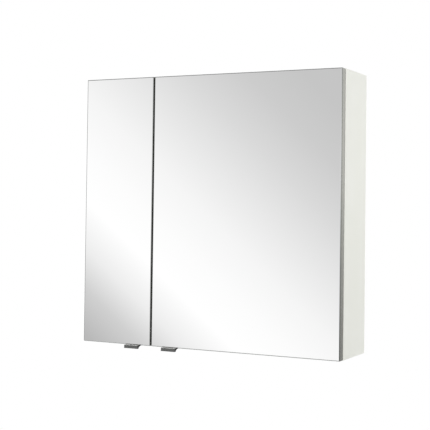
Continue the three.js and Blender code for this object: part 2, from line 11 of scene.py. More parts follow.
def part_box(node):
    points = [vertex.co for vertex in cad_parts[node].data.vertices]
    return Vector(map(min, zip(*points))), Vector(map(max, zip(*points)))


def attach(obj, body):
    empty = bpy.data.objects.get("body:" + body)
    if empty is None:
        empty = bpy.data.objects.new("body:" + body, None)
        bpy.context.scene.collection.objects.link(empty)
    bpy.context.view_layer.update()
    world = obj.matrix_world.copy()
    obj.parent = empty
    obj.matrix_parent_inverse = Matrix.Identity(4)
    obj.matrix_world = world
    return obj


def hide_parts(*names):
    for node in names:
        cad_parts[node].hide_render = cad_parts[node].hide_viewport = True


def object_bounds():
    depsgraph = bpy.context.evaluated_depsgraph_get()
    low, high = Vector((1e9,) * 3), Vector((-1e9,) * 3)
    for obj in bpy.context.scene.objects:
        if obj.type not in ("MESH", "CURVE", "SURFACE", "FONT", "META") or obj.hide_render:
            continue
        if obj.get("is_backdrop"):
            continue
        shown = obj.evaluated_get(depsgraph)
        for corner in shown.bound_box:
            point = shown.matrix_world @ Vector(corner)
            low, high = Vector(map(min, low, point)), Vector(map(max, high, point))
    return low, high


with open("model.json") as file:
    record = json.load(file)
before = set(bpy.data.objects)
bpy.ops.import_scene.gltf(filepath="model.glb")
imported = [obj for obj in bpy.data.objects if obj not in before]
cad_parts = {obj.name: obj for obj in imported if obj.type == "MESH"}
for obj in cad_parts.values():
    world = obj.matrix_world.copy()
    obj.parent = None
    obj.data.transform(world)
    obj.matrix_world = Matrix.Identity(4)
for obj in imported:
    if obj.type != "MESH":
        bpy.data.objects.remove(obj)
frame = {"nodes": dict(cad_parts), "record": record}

# ---- camera --------------------------------------------------------------------------
# A long lens at the height of the cabinet's middle, to the right of it. It is level but
# for a slight tilt, and shifted so that the cabinet sits high in the picture.

camera_place = Vector((1.19109, -2.46779, 0.34414))
camera_yaw = math.radians(26.918)
camera_pitch = math.radians(1.496)
camera_roll = math.radians(0.725)

lens = bpy.data.cameras.new("studio_camera")
lens.sensor_width = 36.0
lens.lens = 88.73
lens.shift_y = -0.08536
camera = bpy.data.objects.new("studio_camera", lens)
camera_turn = (
    Matrix.Rotation(camera_yaw, 4, "Z")
    @ Matrix.Rotation(math.pi / 2 + camera_pitch, 4, "X")
    @ Matrix.Rotation(camera_roll, 4, "Z")
)
camera.matrix_world = Matrix.Translation(camera_place) @ camera_turn
bpy.context.collection.objects.link(camera)
bpy.context.scene.camera = camera
bpy.context.scene.view_settings.view_transform = "Standard"


# ---- studio --------------------------------------------------------------------------
# A white room with a pale floor far below the hanging cabinet. Three broad lamps stand at
# its right, at its left and in front. Soft-edged cards round it show in reflections only.

def linear(colour):
    """An sRGB hex colour as linear red, green, blue and alpha."""
    shares = [int(colour[i:i + 2], 16) / 255 for i in (1, 3, 5)]
    return [c / 12.92 if c <= 0.04045 else ((c + 0.055) / 1.055) ** 2.4 for c in shares] + [1.0]


def set_sockets(tree, made, sockets):
    """Sets a node's inputs to values, or links them from outputs."""
    for name, value in sockets.items():
        if isinstance(value, bpy.types.NodeSocket):
            tree.links.new(value, made.inputs[name])
        else:
            made.inputs[name].default_value = value


def node(tree, kind, sockets=None, stops=None, **settings):
    """Adds a node with its settings and inputs. Stops are a colour ramp's places and colours."""
    made = tree.nodes.new(kind)
    for name, value in settings.items():
        setattr(made, name, value)
    set_sockets(tree, made, sockets or {})
    if stops:
        held = made.color_ramp.elements
        while len(held) < len(stops):
            held.new(0.5)
        for stop, (place, colour) in zip(held, stops):
            stop.position = place
            stop.color = linear(colour)
    return made


# reflections see the room darker overhead, and pale again straight above
ambient = 0.62
world = bpy.data.worlds.new("white_room")
world.use_nodes = True
bpy.context.scene.world = world
sky = world.node_tree
sky.nodes.clear()
rays = node(sky, "ShaderNodeLightPath")
heading = node(sky, "ShaderNodeSeparateXYZ", {
    0: node(sky, "ShaderNodeTexCoord").outputs["Generated"],
})
height = node(sky, "ShaderNodeMapRange", {
    "Value": heading.outputs["Z"], "From Min": -1.0, "From Max": 1.0,
})
room_tones = node(sky, "ShaderNodeValToRGB", {"Fac": height.outputs[0]}, stops=[
    (0.0, "#d8d8d8"), (0.42, "#f4f4f4"), (0.55, "#e8e8e8"), (0.64, "#a8a8a8"),
    (0.78, "#747474"), (0.87, "#848484"), (0.90, "#c8c8c8"), (1.0, "#c8c8c8"),
])
seen_room = node(sky, "ShaderNodeBackground", {"Color": room_tones.outputs[0], "Strength": 1.0})
white_room = node(sky, "ShaderNodeBackground", {"Color": linear("#ffffff"), "Strength": 1.0})
dim_room = node(sky, "ShaderNodeBackground", {"Color": linear("#ffffff"), "Strength": ambient})
glossy_or_dim = node(sky, "ShaderNodeMixShader", {
    0: rays.outputs["Is Glossy Ray"], 1: dim_room.outputs[0], 2: seen_room.outputs[0],
})
through_or_not = node(sky, "ShaderNodeMixShader", {
    0: rays.outputs["Is Transmission Ray"], 1: glossy_or_dim.outputs[0], 2: white_room.outputs[0],
})
all_rays = node(sky, "ShaderNodeMixShader", {
    0: rays.outputs["Is Camera Ray"], 1: through_or_not.outputs[0], 2: white_room.outputs[0],
})
node(sky, "ShaderNodeOutputWorld", {"Surface": all_rays.outputs[0]})

cad_low, cad_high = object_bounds()
middle = (cad_low + cad_high) / 2


def lamp(name, place, width, depth, watts):
    """A broad lamp that faces the cabinet's middle and that mirrors don't show."""
    light = bpy.data.lights.new(name, "AREA")
    light.shape = "RECTANGLE"
    light.size = width
    light.size_y = depth
    light.energy = watts
    made = bpy.data.objects.new(name, light)
    turn = (place - middle).to_track_quat("Z", "Y").to_matrix().to_4x4()
    made.matrix_world = Matrix.Translation(place) @ turn
    made.visible_camera = False
    made.visible_glossy = False
    bpy.context.collection.objects.link(made)


lamp("key_lamp", Vector((2.7, 0.4, 0.65)), width=1.8, depth=1.6, watts=20.5)
lamp("fill_lamp", Vector((-2.8, -2.6, 1.6)), width=2.0, depth=2.0, watts=20.0)
lamp("front_lamp", Vector((-0.7, -4.2, 1.2)), width=1.8, depth=1.8, watts=60.0)


def flat_card(name, half_width, half_height, material, upright=False):
    """A flat sheet round the origin, lying or upright, part of the studio."""
    corners = []
    for across, up in ((-1, -1), (1, -1), (1, 1), (-1, 1)):
        x, rise = across * half_width, up * half_height
        corners.append((x, 0, rise) if upright else (x, rise, 0))
    mesh = bpy.data.meshes.new(name)
    mesh.from_pydata(corners, [], [range(4)])
    mesh.materials.append(material)
    made = bpy.data.objects.new(name, mesh)
    bpy.context.collection.objects.link(made)
    made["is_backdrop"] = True
    return made


def bare_material(name):
    """A new material with an empty node tree."""
    made = bpy.data.materials.new(name)
    made.use_nodes = True
    made.node_tree.nodes.clear()
    return made


# the floor turns to plain white away from the cabinet, so that it has no visible rim, and
# in reflections more slowly to the tone that the room has there
floor_drop = 1.3
floor_half = 6.0
floor_seen_in_gloss = 0.88
floor_paint = bare_material("pale_studio_floor")
tree = floor_paint.node_tree
away = node(tree, "ShaderNodeVectorMath", {
    0: node(tree, "ShaderNodeTexCoord").outputs["Object"],
}, operation="LENGTH").outputs["Value"]
fading = node(tree, "ShaderNodeMapRange", {
    "Value": away, "From Min": 1.0, "From Max": 4.5, "To Min": 0.55, "To Max": 1.0,
}, interpolation_type="SMOOTHSTEP")
floor_rays = node(tree, "ShaderNodeLightPath")
in_gloss = floor_rays.outputs["Is Glossy Ray"]
direct = node(tree, "ShaderNodeMath", {
    0: floor_rays.outputs["Is Camera Ray"], 1: floor_rays.outputs["Is Transmission Ray"],
}, operation="MAXIMUM")
slower = node(tree, "ShaderNodeMapRange", {
    "Value": away, "From Min": 1.5, "From Max": floor_half, "To Min": 0.2, "To Max": 1.0,
}, interpolation_type="SMOOTHSTEP")
glossed = node(tree, "ShaderNodeMath", {0: in_gloss, 1: slower.outputs[0]}, operation="MULTIPLY")
seen = node(tree, "ShaderNodeMath", {
    0: direct.outputs[0], 1: fading.outputs[0], 2: glossed.outputs[0],
}, operation="MULTIPLY_ADD")
painted = node(tree, "ShaderNodeBsdfDiffuse", {"Color": linear("#efefee")})
level = node(tree, "ShaderNodeMapRange", {
    "Value": in_gloss, "To Min": 1.0, "To Max": floor_seen_in_gloss,
})
glowing = node(tree, "ShaderNodeEmission", {
    "Color": linear("#ffffff"), "Strength": level.outputs[0],
})
shown = node(tree, "ShaderNodeMixShader", {
    0: seen.outputs[0], 1: painted.outputs[0], 2: glowing.outputs[0],
})
node(tree, "ShaderNodeOutputMaterial", {"Surface": shown.outputs[0]})
floor = flat_card("studio_floor", floor_half, floor_half, floor_paint)
floor.location.z = cad_low.z - floor_drop


def glossy_only(sheet):
    """Leaves a sheet to reflections alone."""
    sheet.visible_camera = False
    sheet.visible_diffuse = False
    sheet.visible_transmission = False
    sheet.visible_shadow = False


def soft_edged(tree, glow, places, halves, kept):
    """Fades a card out towards its rim, beyond the share kept of its half sizes."""
    shares = []
    for place, half in zip(places, halves):
        scaled = node(tree, "ShaderNodeMath", {0: place, 1: 1 / half}, operation="MULTIPLY")
        whole = node(tree, "ShaderNodeMath", {0: scaled.outputs[0]}, operation="ABSOLUTE")
        shares.append(whole.outputs[0])
    further = node(tree, "ShaderNodeMath", {0: shares[0], 1: shares[1]}, operation="MAXIMUM")
    fading = node(tree, "ShaderNodeMapRange", {
        "Value": further.outputs[0], "From Min": kept, "From Max": 1.0,
    }, interpolation_type="SMOOTHSTEP")
    clear = node(tree, "ShaderNodeBsdfTransparent")
    shown = node(tree, "ShaderNodeMixShader", {
        0: fading.outputs[0], 1: glow.outputs[0], 2: clear.outputs[0],
    })
    node(tree, "ShaderNodeOutputMaterial", {"Surface": shown.outputs[0]})


# the graduated card stands where the camera looks by way of the mirrors, square to that
# look. It is brightest along a diagonal left of its middle, which falls to the right, and
# darker to its lower left and upper right corners.
card_reach = 5.2
card_half = 1.5
card_kept = 0.64
card_tones = [
    (0.00, "#b8b8b8"), (0.08, "#cfcfcf"), (0.15, "#ececec"), (0.235, "#fefefe"),
    (0.32, "#fbfbfb"), (0.42, "#f4f4f4"), (0.53, "#e6e6e6"), (0.63, "#d8d8d8"),
    (0.735, "#cbcbcb"), (0.84, "#c4c4c4"),
]
card_level = 1.08
card_span = 1.4
mirror_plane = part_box("right_mirror")[0].y
flip = Matrix.Diagonal((1, -1, 1, 1))
flip.translation = Vector((0, 2 * mirror_plane, 0))
looking = flip @ camera.matrix_world
card_paint = bare_material("graduated_card")
tree = card_paint.node_tree
across = node(tree, "ShaderNodeSeparateXYZ", {
    0: node(tree, "ShaderNodeTexCoord").outputs["Object"],
})
diagonal = node(tree, "ShaderNodeMath", {
    0: across.outputs["X"], 1: across.outputs["Y"],
}, operation="ADD")
share = node(tree, "ShaderNodeMapRange", {
    "Value": diagonal.outputs[0], "From Min": -card_span, "From Max": card_span,
})
graded = node(tree, "ShaderNodeValToRGB", {"Fac": share.outputs[0]}, stops=card_tones)
glow = node(tree, "ShaderNodeEmission", {"Color": graded.outputs[0], "Strength": card_level})
soft_edged(tree, glow, (across.outputs["X"], across.outputs["Y"]), (card_half, card_half),
           card_kept)
card = flat_card("graduated_card", card_half, card_half, card_paint)
card.matrix_world = looking @ Matrix.Translation((0, 0, -card_reach))
glossy_only(card)

# three tall cards stand round the cabinet for its narrow edges alone. One behind it at the
# right shades the door bands from top to bottom, one in front at the right lights the bevels
# of the mirrors, and a black one at the left draws their left outline.
tall_card_distance = 2.2
tall_card_half = 1.6
tall_card_kept = 0.6


def upright_card(name, edge_x, bearing, half_width, tones, level):
    """A tall card square to a bearing from an upright edge of the cabinet."""
    paint = bare_material(name)
    tree = paint.node_tree
    spot = node(tree, "ShaderNodeSeparateXYZ", {
        0: node(tree, "ShaderNodeTexCoord").outputs["Object"],
    })
    share = node(tree, "ShaderNodeMapRange", {
        "Value": spot.outputs["Z"], "From Min": -tall_card_half, "From Max": tall_card_half,
    })
    graded = node(tree, "ShaderNodeValToRGB", {"Fac": share.outputs[0]}, stops=tones)
    glow = node(tree, "ShaderNodeEmission", {"Color": graded.outputs[0], "Strength": level})
    soft_edged(tree, glow, (spot.outputs["X"], spot.outputs["Z"]),
               (half_width, tall_card_half), tall_card_kept)
    sheet = flat_card(name, half_width, tall_card_half, paint, upright=True)
    ahead = Vector((math.sin(bearing), math.cos(bearing), 0))
    edge = Vector((edge_x, middle.y, middle.z))
    sheet.matrix_world = (
        Matrix.Translation(edge + tall_card_distance * ahead)
        @ Matrix.Rotation(-bearing, 4, "Z")
    )
    glossy_only(sheet)


upright_card("band_card", cad_high.x, camera_yaw, half_width=1.6, tones=[
    (0.323, "#adadad"), (0.453, "#d4d4d4"), (0.577, "#ffffff"), (0.667, "#f6f6f6"),
], level=1.2)
upright_card("bevel_card", cad_high.x, camera_yaw + math.radians(119), half_width=0.75, tones=[
    (0.323, "#747474"), (0.453, "#b3b3b3"), (0.577, "#ffffff"), (0.667, "#dcdcdc"),
], level=1.5)
upright_card("black_flag", cad_low.x, camera_yaw - math.radians(112.5), half_width=0.75, tones=[
    (0.0, "#050505"), (1.0, "#050505"),
], level=1.0)


# ---- boards --------------------------------------------------------------------------
# Sides, top, bottom, partition and doors are cut from 16 mm white melamine-faced
# chipboard. Their front edges are banded in the same white; the rear edges are bare.

nodes = frame["nodes"]
body_of = {
    name: body
    for body, names in frame["record"]["behaviour"]["bodies"].items() for name in names
}


def surface(name):
    """A new material, its tree, its Principled BSDF and the piece's own coordinates."""
    made = bpy.data.materials.new(name)
    made.use_nodes = True
    tree = made.node_tree
    place = node(tree, "ShaderNodeTexCoord").outputs["Object"]
    return made, tree, tree.nodes["Principled BSDF"], place


def melamine(name, chip_squash):
    # Melamine facing, pressed with a fine pearl: satin white with a soft broken sheen.
    # The pearl is 0.4 mm on the real board and 2 mm here, so that it shows at all. The bare
    # rear edges show flat chips about 4 mm long and 1.3 mm thick, which chip_squash lays
    # along the board.
    pearl_size = 0.002
    chip_size = 0.0028
    clouds_per_metre = 9.0
    bare_from = carcass_rear - 0.0002
    bare_extra_roughness = 0.4
    made, tree, shader, place = surface(name)
    pearl = node(tree, "ShaderNodeTexNoise", {
        "Vector": place, "Scale": 1 / pearl_size, "Detail": 2.0,
    })
    cloud = node(tree, "ShaderNodeTexNoise", {
        "Vector": place, "Scale": clouds_per_metre, "Detail": 1.0,
    })
    white = node(tree, "ShaderNodeValToRGB", {"Fac": cloud.outputs["Fac"]}, stops=[
        (0.3, "#ebece4"), (0.7, "#edeee7"),
    ])
    pressed = node(tree, "ShaderNodeMapping", {"Vector": place, "Scale": chip_squash})
    chips = node(tree, "ShaderNodeTexVoronoi", {
        "Vector": pressed.outputs[0], "Scale": 1 / chip_size, "Randomness": 1.0,
    })
    wood = node(tree, "ShaderNodeValToRGB", {"Fac": chips.outputs["Color"]}, stops=[
        (0.1, "#8f6f4a"), (0.35, "#b3926a"), (0.6, "#c6a980"), (0.9, "#d8c09a"),
    ])
    depth = node(tree, "ShaderNodeSeparateXYZ", {0: place}).outputs["Y"]
    bare = node(tree, "ShaderNodeMath", {0: depth, 1: bare_from}, operation="GREATER_THAN")
    colour = node(tree, "ShaderNodeMix", {
        "Factor": bare.outputs[0], "A": white.outputs[0], "B": wood.outputs[0],
    }, data_type="RGBA")
    rough = node(tree, "ShaderNodeMapRange", {
        "Value": pearl.outputs["Fac"], "From Min": 0.3, "From Max": 0.7,
        "To Min": 0.40, "To Max": 0.50,
    })
    rougher = node(tree, "ShaderNodeMath", {
        0: bare.outputs[0], 1: bare_extra_roughness, 2: rough.outputs[0],
    }, operation="MULTIPLY_ADD")
    relief = node(tree, "ShaderNodeBump", {
        "Strength": 0.25, "Distance": 0.00004, "Height": pearl.outputs["Fac"],
    })
    set_sockets(tree, shader, {
        "Base Color": colour.outputs["Result"], "Roughness": rougher.outputs[0],
        "Normal": relief.outputs[0], "IOR": 1.5,
    })
    return made


def plain_copy(name, source):
    """A merged copy of a CAD node's mesh, flat faces whole again, as a new object."""
    touching = 1e-6
    flat_within = math.radians(0.5)
    work = bmesh.new()
    work.from_mesh(nodes[source].data)
    bmesh.ops.remove_doubles(work, verts=work.verts, dist=touching)
    bmesh.ops.dissolve_limit(work, angle_limit=flat_within, verts=work.verts, edges=work.edges)
    mesh = bpy.data.meshes.new(name)
    work.to_mesh(mesh)
    work.free()
    made = bpy.data.objects.new(name, mesh)
    bpy.context.collection.objects.link(made)
    return made


def baked(piece):
    """Applies what a piece's modifiers make to its mesh."""
    settled = piece.evaluated_get(bpy.context.evaluated_depsgraph_get())
    mesh = bpy.data.meshes.new_from_object(settled)
    piece.modifiers.clear()
    old = piece.data
    piece.data = mesh
    bpy.data.meshes.remove(old)


def smooth_below(piece, angle):
    """Shades a mesh smooth, and sharp along the edges that turn by more than angle."""
    mesh = piece.data
    work = bmesh.new()
    work.from_mesh(mesh)
    for face in work.faces:
        face.smooth = True
    for edge in work.edges:
        edge.smooth = edge.is_manifold and edge.calc_face_angle() < angle
    work.to_mesh(mesh)
    work.free()


def dressed(source, suffix, material, rounding, segments=2, crease=50, blended=True, shape=None):
    """A copy of a CAD node in its real finish, that stands for it. Its edges that turn by
    more than crease degrees are rounded."""
    piece = plain_copy(f"{source}_{suffix}", source)
    if shape:
        shape(piece.data)
    bevel = piece.modifiers.new("rounded_edges", "BEVEL")
    bevel.width = rounding
    bevel.segments = segments
    bevel.limit_method = "ANGLE"
    bevel.angle_limit = math.radians(crease)
    baked(piece)
    piece.data.materials.clear()
    piece.data.materials.append(material)
    if blended:
        smooth_below(piece, math.radians(crease))
        flats = piece.modifiers.new("true_flats", "WEIGHTED_NORMAL")
        flats.weight = 100
        flats.keep_sharp = True
        baked(piece)
    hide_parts(source)
    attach(piece, body_of[source])
    return piece


carcass_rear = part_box("left_side")[1].y
board_rounding = 0.0004
standing_board = melamine("white_melamine_standing_board", (2.2, 1.0, 0.7))
lying_board = melamine("white_melamine_lying_board", (0.7, 1.0, 2.2))
for board in ("left_side", "right_side", "center_partition", "left_door_board", "right_door_board"):
    dressed(board, "faced", standing_board, board_rounding)
for board in ("top_panel", "bottom_panel"):
    dressed(board, "faced", lying_board, board_rounding)


# ---- back panel ----------------------------------------------------------------------
# A 3 mm hardboard sheet in grooves, lacquered white towards the shelves and left brown
# and slightly fibrous towards the wall.

def hardboard():
    # High-density fibreboard: smooth brown felted fibres behind, a matt white lacquer in front.
    fibre = 0.0016
    clouds_per_metre = 14.0
    cloud_share = 0.2
    brown_from = back_rear - 0.0005
    made, tree, shader, place = surface("lacquered_hardboard")
    strands = node(tree, "ShaderNodeTexNoise", {
        "Vector": place, "Scale": 1 / fibre, "Detail": 4.0, "Distortion": 1.2,
    })
    cloud = node(tree, "ShaderNodeTexNoise", {
        "Vector": place, "Scale": clouds_per_metre, "Detail": 3.0,
    })
    mixed = node(tree, "ShaderNodeMix", {
        "Factor": cloud_share, "A": strands.outputs["Fac"], "B": cloud.outputs["Fac"],
    })
    brown = node(tree, "ShaderNodeValToRGB", {"Fac": mixed.outputs["Result"]}, stops=[
        (0.35, "#7d5f41"), (0.5, "#94744f"), (0.65, "#a88661"),
    ])
    depth = node(tree, "ShaderNodeSeparateXYZ", {0: place}).outputs["Y"]
    rear = node(tree, "ShaderNodeMath", {0: depth, 1: brown_from}, operation="GREATER_THAN")
    colour = node(tree, "ShaderNodeMix", {
        "Factor": rear.outputs[0], "A": linear("#e9e9e4"), "B": brown.outputs[0],
    }, data_type="RGBA")
    rough = node(tree, "ShaderNodeMapRange", {
        "Value": rear.outputs[0], "To Min": 0.55, "To Max": 0.72,
    })
    relief = node(tree, "ShaderNodeBump", {
        "Strength": 0.3, "Distance": 0.00006, "Height": strands.outputs["Fac"],
    })
    set_sockets(tree, shader, {
        "Base Color": colour.outputs["Result"], "Roughness": rough.outputs[0],
        "Normal": relief.outputs[0],
    })
    return made


back_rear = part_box("back_panel")[1].y
dressed("back_panel", "lacquered", hardboard(), rounding=0.0002)


# ---- door edging -----------------------------------------------------------------------
# A 1 mm edge band with an aluminium look, glued round each door board. Its foil is
# brushed along the band.

def aluminium_foil():
    # Aluminium-look band: satin grey with fine lines along its length, about 40 mm long and
    # 0.5 mm apart.
    line_length = 1 / 24
    line_thinning = (1.0, 90.0, 1.0)
    made, tree, shader, place = surface("aluminium_look_edge_band")
    drawn_out = node(tree, "ShaderNodeMapping", {"Vector": place, "Scale": line_thinning})
    lines = node(tree, "ShaderNodeTexNoise", {
        "Vector": drawn_out.outputs[0], "Scale": 1 / line_length, "Detail": 3.0,
    })
    tone = node(tree, "ShaderNodeValToRGB", {"Fac": lines.outputs["Fac"]}, stops=[
        (0.3, "#8f9089"), (0.7, "#a3a49d"),
    ])
    rough = node(tree, "ShaderNodeMapRange", {
        "Value": lines.outputs["Fac"], "From Min": 0.3, "From Max": 0.7,
        "To Min": 0.20, "To Max": 0.30,
    })
    set_sockets(tree, shader, {
        "Base Color": tone.outputs[0], "Roughness": rough.outputs[0], "Metallic": 0.85,
    })
    return made


edge_band = aluminium_foil()
for side in ("left", "right"):
    dressed(f"{side}_door_edging", "banded", edge_band, rounding=0.0003)


# ---- mirrors ---------------------------------------------------------------------------
# 4 mm float glass, silvered behind, with ground edges; the silver is sealed with a grey
# lacquer and the sheet is glued to the door board.

def silvered_glass():
    # Silvered float glass: a clean front reflection with a faint uneven haze.
    hazes_per_metre = 5.0
    made, tree, shader, place = surface("silvered_float_glass")
    haze = node(tree, "ShaderNodeTexNoise", {
        "Vector": place, "Scale": hazes_per_metre, "Detail": 2.0,
    })
    rough = node(tree, "ShaderNodeMapRange", {
        "Value": haze.outputs["Fac"], "From Min": 0.3, "From Max": 0.7,
        "To Min": 0.0, "To Max": 0.006,
    })
    set_sockets(tree, shader, {
        "Base Color": linear("#f8f8f8"), "Metallic": 1.0, "Roughness": rough.outputs[0],
    })
    return made


def polished_bevel():
    # The bevel shows the silver behind it, a little greyer than the face. From 0.65 mm behind
    # the face to the rim it is painted dark, a painted shade line round the sheet.
    grit_size = 0.0005
    # where the painted shade line begins, 0.65 mm behind the face
    painted_shade_line_from = mirror_plane + 0.00065
    made, tree, shader, place = surface("polished_mirror_bevel")
    grit = node(tree, "ShaderNodeTexNoise", {
        "Vector": place, "Scale": 1 / grit_size, "Detail": 2.0,
    })
    tone = node(tree, "ShaderNodeValToRGB", {"Fac": grit.outputs["Fac"]}, stops=[
        (0.3, "#bfc1c0"), (0.7, "#c6c8c7"),
    ])
    depth = node(tree, "ShaderNodeSeparateXYZ", {0: place}).outputs["Y"]
    past = node(tree, "ShaderNodeMath", {0: depth, 1: painted_shade_line_from}, operation="GREATER_THAN")
    # painted shade: from there to the rim the bevel is dark grey
    colour = node(tree, "ShaderNodeMix", {
        "Factor": past.outputs[0], "A": tone.outputs[0], "B": linear("#3a3c3b"),
    }, data_type="RGBA")
    set_sockets(tree, shader, {
        "Base Color": colour.outputs["Result"], "Roughness": 0.08, "Metallic": 1.0,
    })
    return made


def sealed_rim():
    # The ground rim is sealed with a silver-grey lacquer. Grit of 0.5 mm shows as specks.
    grit_size = 0.0005
    made, tree, shader, place = surface("silver_edge_sealing")
    grit = node(tree, "ShaderNodeTexNoise", {
        "Vector": place, "Scale": 1 / grit_size, "Detail": 2.0,
    })
    tone = node(tree, "ShaderNodeValToRGB", {"Fac": grit.outputs["Fac"]}, stops=[
        (0.3, "#b0b1ab"), (0.7, "#c0c1ba"),
    ])
    set_sockets(tree, shader, {
        "Base Color": tone.outputs[0], "Roughness": 0.28, "Metallic": 0.85,
    })
    return made


def sealing_lacquer():
    # Mirror backing paint: matt blue-grey with a slight orange peel.
    peel_size = 0.0025
    made, tree, shader, place = surface("mirror_sealing_lacquer")
    peel = node(tree, "ShaderNodeTexNoise", {
        "Vector": place, "Scale": 1 / peel_size, "Detail": 1.0,
    })
    tone = node(tree, "ShaderNodeValToRGB", {"Fac": peel.outputs["Fac"]}, stops=[
        (0.3, "#6e757b"), (0.7, "#7a8187"),
    ])
    set_sockets(tree, shader, {"Base Color": tone.outputs[0], "Roughness": 0.6})
    return made


# the front keeps the silver; the bevel, the rim and the back are given their own finishes
glass_crease = 30
square_on = 0.999
edge_on = 0.001
silver, bevel, rim, lacquer = silvered_glass(), polished_bevel(), sealed_rim(), sealing_lacquer()
for side in ("left", "right"):
    mirror = dressed(f"{side}_mirror", "silvered", silver, rounding=0.0002,
                     crease=glass_crease, blended=False)
    for finish in (bevel, rim, lacquer):
        mirror.data.materials.append(finish)
    for face in mirror.data.polygons:
        if face.normal.y > -square_on:
            face.material_index = 1
        if abs(face.normal.y) < edge_on:
            face.material_index = 2
        if face.normal.y > square_on:
            face.material_index = 3


# ---- pull strips -----------------------------------------------------------------------
# Extruded strips of satin metal under the inner corners of the doors, each with a lip in
# front of the mirror and a finger hollow behind the lip.

def satin_metal():
    # Satin-ground metal: mid grey, with fine lines from grinding along the strip, 25 mm long
    # and 0.4 mm apart.
    line_length = 0.025
    line_thinning = (1.0, 60.0, 60.0)
    made, tree, shader, place = surface("satin_ground_metal")
    drawn_out = node(tree, "ShaderNodeMapping", {"Vector": place, "Scale": line_thinning})
    lines = node(tree, "ShaderNodeTexNoise", {
        "Vector": drawn_out.outputs[0], "Scale": 1 / line_length, "Detail": 3.0,
    })
    tone = node(tree, "ShaderNodeValToRGB", {"Fac": lines.outputs["Fac"]}, stops=[
        (0.3, "#656665"), (0.7, "#747574"),
    ])
    rough = node(tree, "ShaderNodeMapRange", {
        "Value": lines.outputs["Fac"], "From Min": 0.3, "From Max": 0.7,
        "To Min": 0.22, "To Max": 0.34,
    })
    set_sockets(tree, shader, {
        "Base Color": tone.outputs[0], "Metallic": 1.0, "Roughness": rough.outputs[0],
    })
    return made


def nearly_black_end_metal():
    # The ends of the strip are coloured nearly black and matt, with upright saw marks. They are
    # 3.8 mm apart, which is coarser than real ones, so that they show.
    mark_spacing = 0.00377
    waves_at_unit_scale = 20 / (2 * math.pi)
    made, tree, shader, place = surface("nearly_black_strip_end")
    marks = node(tree, "ShaderNodeTexWave", {
        "Vector": place, "Scale": 1 / (mark_spacing * waves_at_unit_scale), "Distortion": 2.0,
    }, bands_direction="Y")
    tone = node(tree, "ShaderNodeValToRGB", {"Fac": marks.outputs["Fac"]}, stops=[
        (0.2, "#262626"), (0.8, "#343434"),
    ])
    set_sockets(tree, shader, {
        "Base Color": tone.outputs[0], "Metallic": 0.6, "Roughness": 0.5,
    })
    return made


def painted_light_top_metal():
    # Painted light: the upper face is a light grey, matt and barely metallic, so that it shows lit
    # from above; 0.5 mm grain.
    grain_size = 0.0005
    made, tree, shader, place = surface("painted_light_top_metal")
    grain = node(tree, "ShaderNodeTexNoise", {
        "Vector": place, "Scale": 1 / grain_size, "Detail": 2.0,
    })
    tone = node(tree, "ShaderNodeValToRGB", {"Fac": grain.outputs["Fac"]}, stops=[
        (0.3, "#dededc"), (0.7, "#e8e8e6"),
    ])
    set_sockets(tree, shader, {
        "Base Color": tone.outputs[0], "Metallic": 0.15, "Roughness": 0.6,
    })
    return made


def eased_lip(mesh):
    """Rounds the upper front edge of a strip's lip."""
    easing = 0.0012
    near = 1e-5
    work = bmesh.new()
    work.from_mesh(mesh)
    front = min(corner.co.y for corner in work.verts)
    top = max(corner.co.z for corner in work.verts)
    upper_edge = [
        edge for edge in work.edges
        if all(corner.co.y < front + near and corner.co.z > top - near for corner in edge.verts)
    ]
    bmesh.ops.bevel(work, geom=upper_edge, offset=easing, segments=5, profile=0.5, affect="EDGES")
    work.to_mesh(mesh)
    work.free()


# the ends are nearly black and the upper faces painted light grey for the light on them; the rest
# is satin
end_on = 0.99
upward = 0.5
top_band = 0.002
pull_finish, nearly_black_end_finish, top_finish = satin_metal(), nearly_black_end_metal(), painted_light_top_metal()
for side in ("left", "right"):
    pull = dressed(f"{side}_pull", "satin", pull_finish, rounding=0.0003, shape=eased_lip)
    pull_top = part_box(f"{side}_pull")[1].z
    pull.data.materials.append(nearly_black_end_finish)
    pull.data.materials.append(top_finish)
    for face in pull.data.polygons:
        # the ends of the strip take the nearly black colour
        if abs(face.normal.x) > end_on:
            face.material_index = 1
        # painted light: the upper faces take the light grey
        if face.normal.z > upward and face.center.z > pull_top - top_band:
            face.material_index = 2


# ---- glass shelves ---------------------------------------------------------------------
# 5 mm clear float glass, cut to the width of the compartments, with ground edges. Each
# sheet lies loose on four supports.

def clear_glass(name, tint, smoothest, roughest, clear):
    # Float glass: nearly colourless through the sheet. Its ground edges are greener and
    # frosted, with 0.4 mm grit.
    grit_size = 0.0004
    made, tree, shader, place = surface(name)
    grit = node(tree, "ShaderNodeTexNoise", {
        "Vector": place, "Scale": 1 / grit_size, "Detail": 1.0,
    })
    spread = node(tree, "ShaderNodeMapRange", {
        "Value": grit.outputs["Fac"], "From Min": 0.3, "From Max": 0.7,
        "To Min": smoothest, "To Max": roughest,
    })
    set_sockets(tree, shader, {
        "Base Color": linear(tint), "Roughness": spread.outputs[0], "IOR": 1.52,
        "Transmission Weight": clear,
    })
    return made


shelf_glass = clear_glass(
    "clear_float_glass", "#e9f4ef", smoothest=0.0, roughest=0.004, clear=1.0)
shelf_edge = clear_glass(
    "ground_glass_edge", "#aecfc3", smoothest=0.28, roughest=0.42, clear=0.6)
for source in [name for name in nodes if name.endswith("_shelf")]:
    shelf = dressed(source, "glass", shelf_glass, rounding=0.0001, crease=glass_crease,
                    blended=False)
    shelf.data.materials.append(shelf_edge)
    for face in shelf.data.polygons:
        if abs(face.normal.z) < square_on:
            face.material_index = 1


# ---- shelf supports ----------------------------------------------------------------------
# Turned and nickel-plated steel pins, sixteen in all, pushed into bores in the uprights. Each
# has a collar that stops at the board and a stub with a flat on which the glass lies.

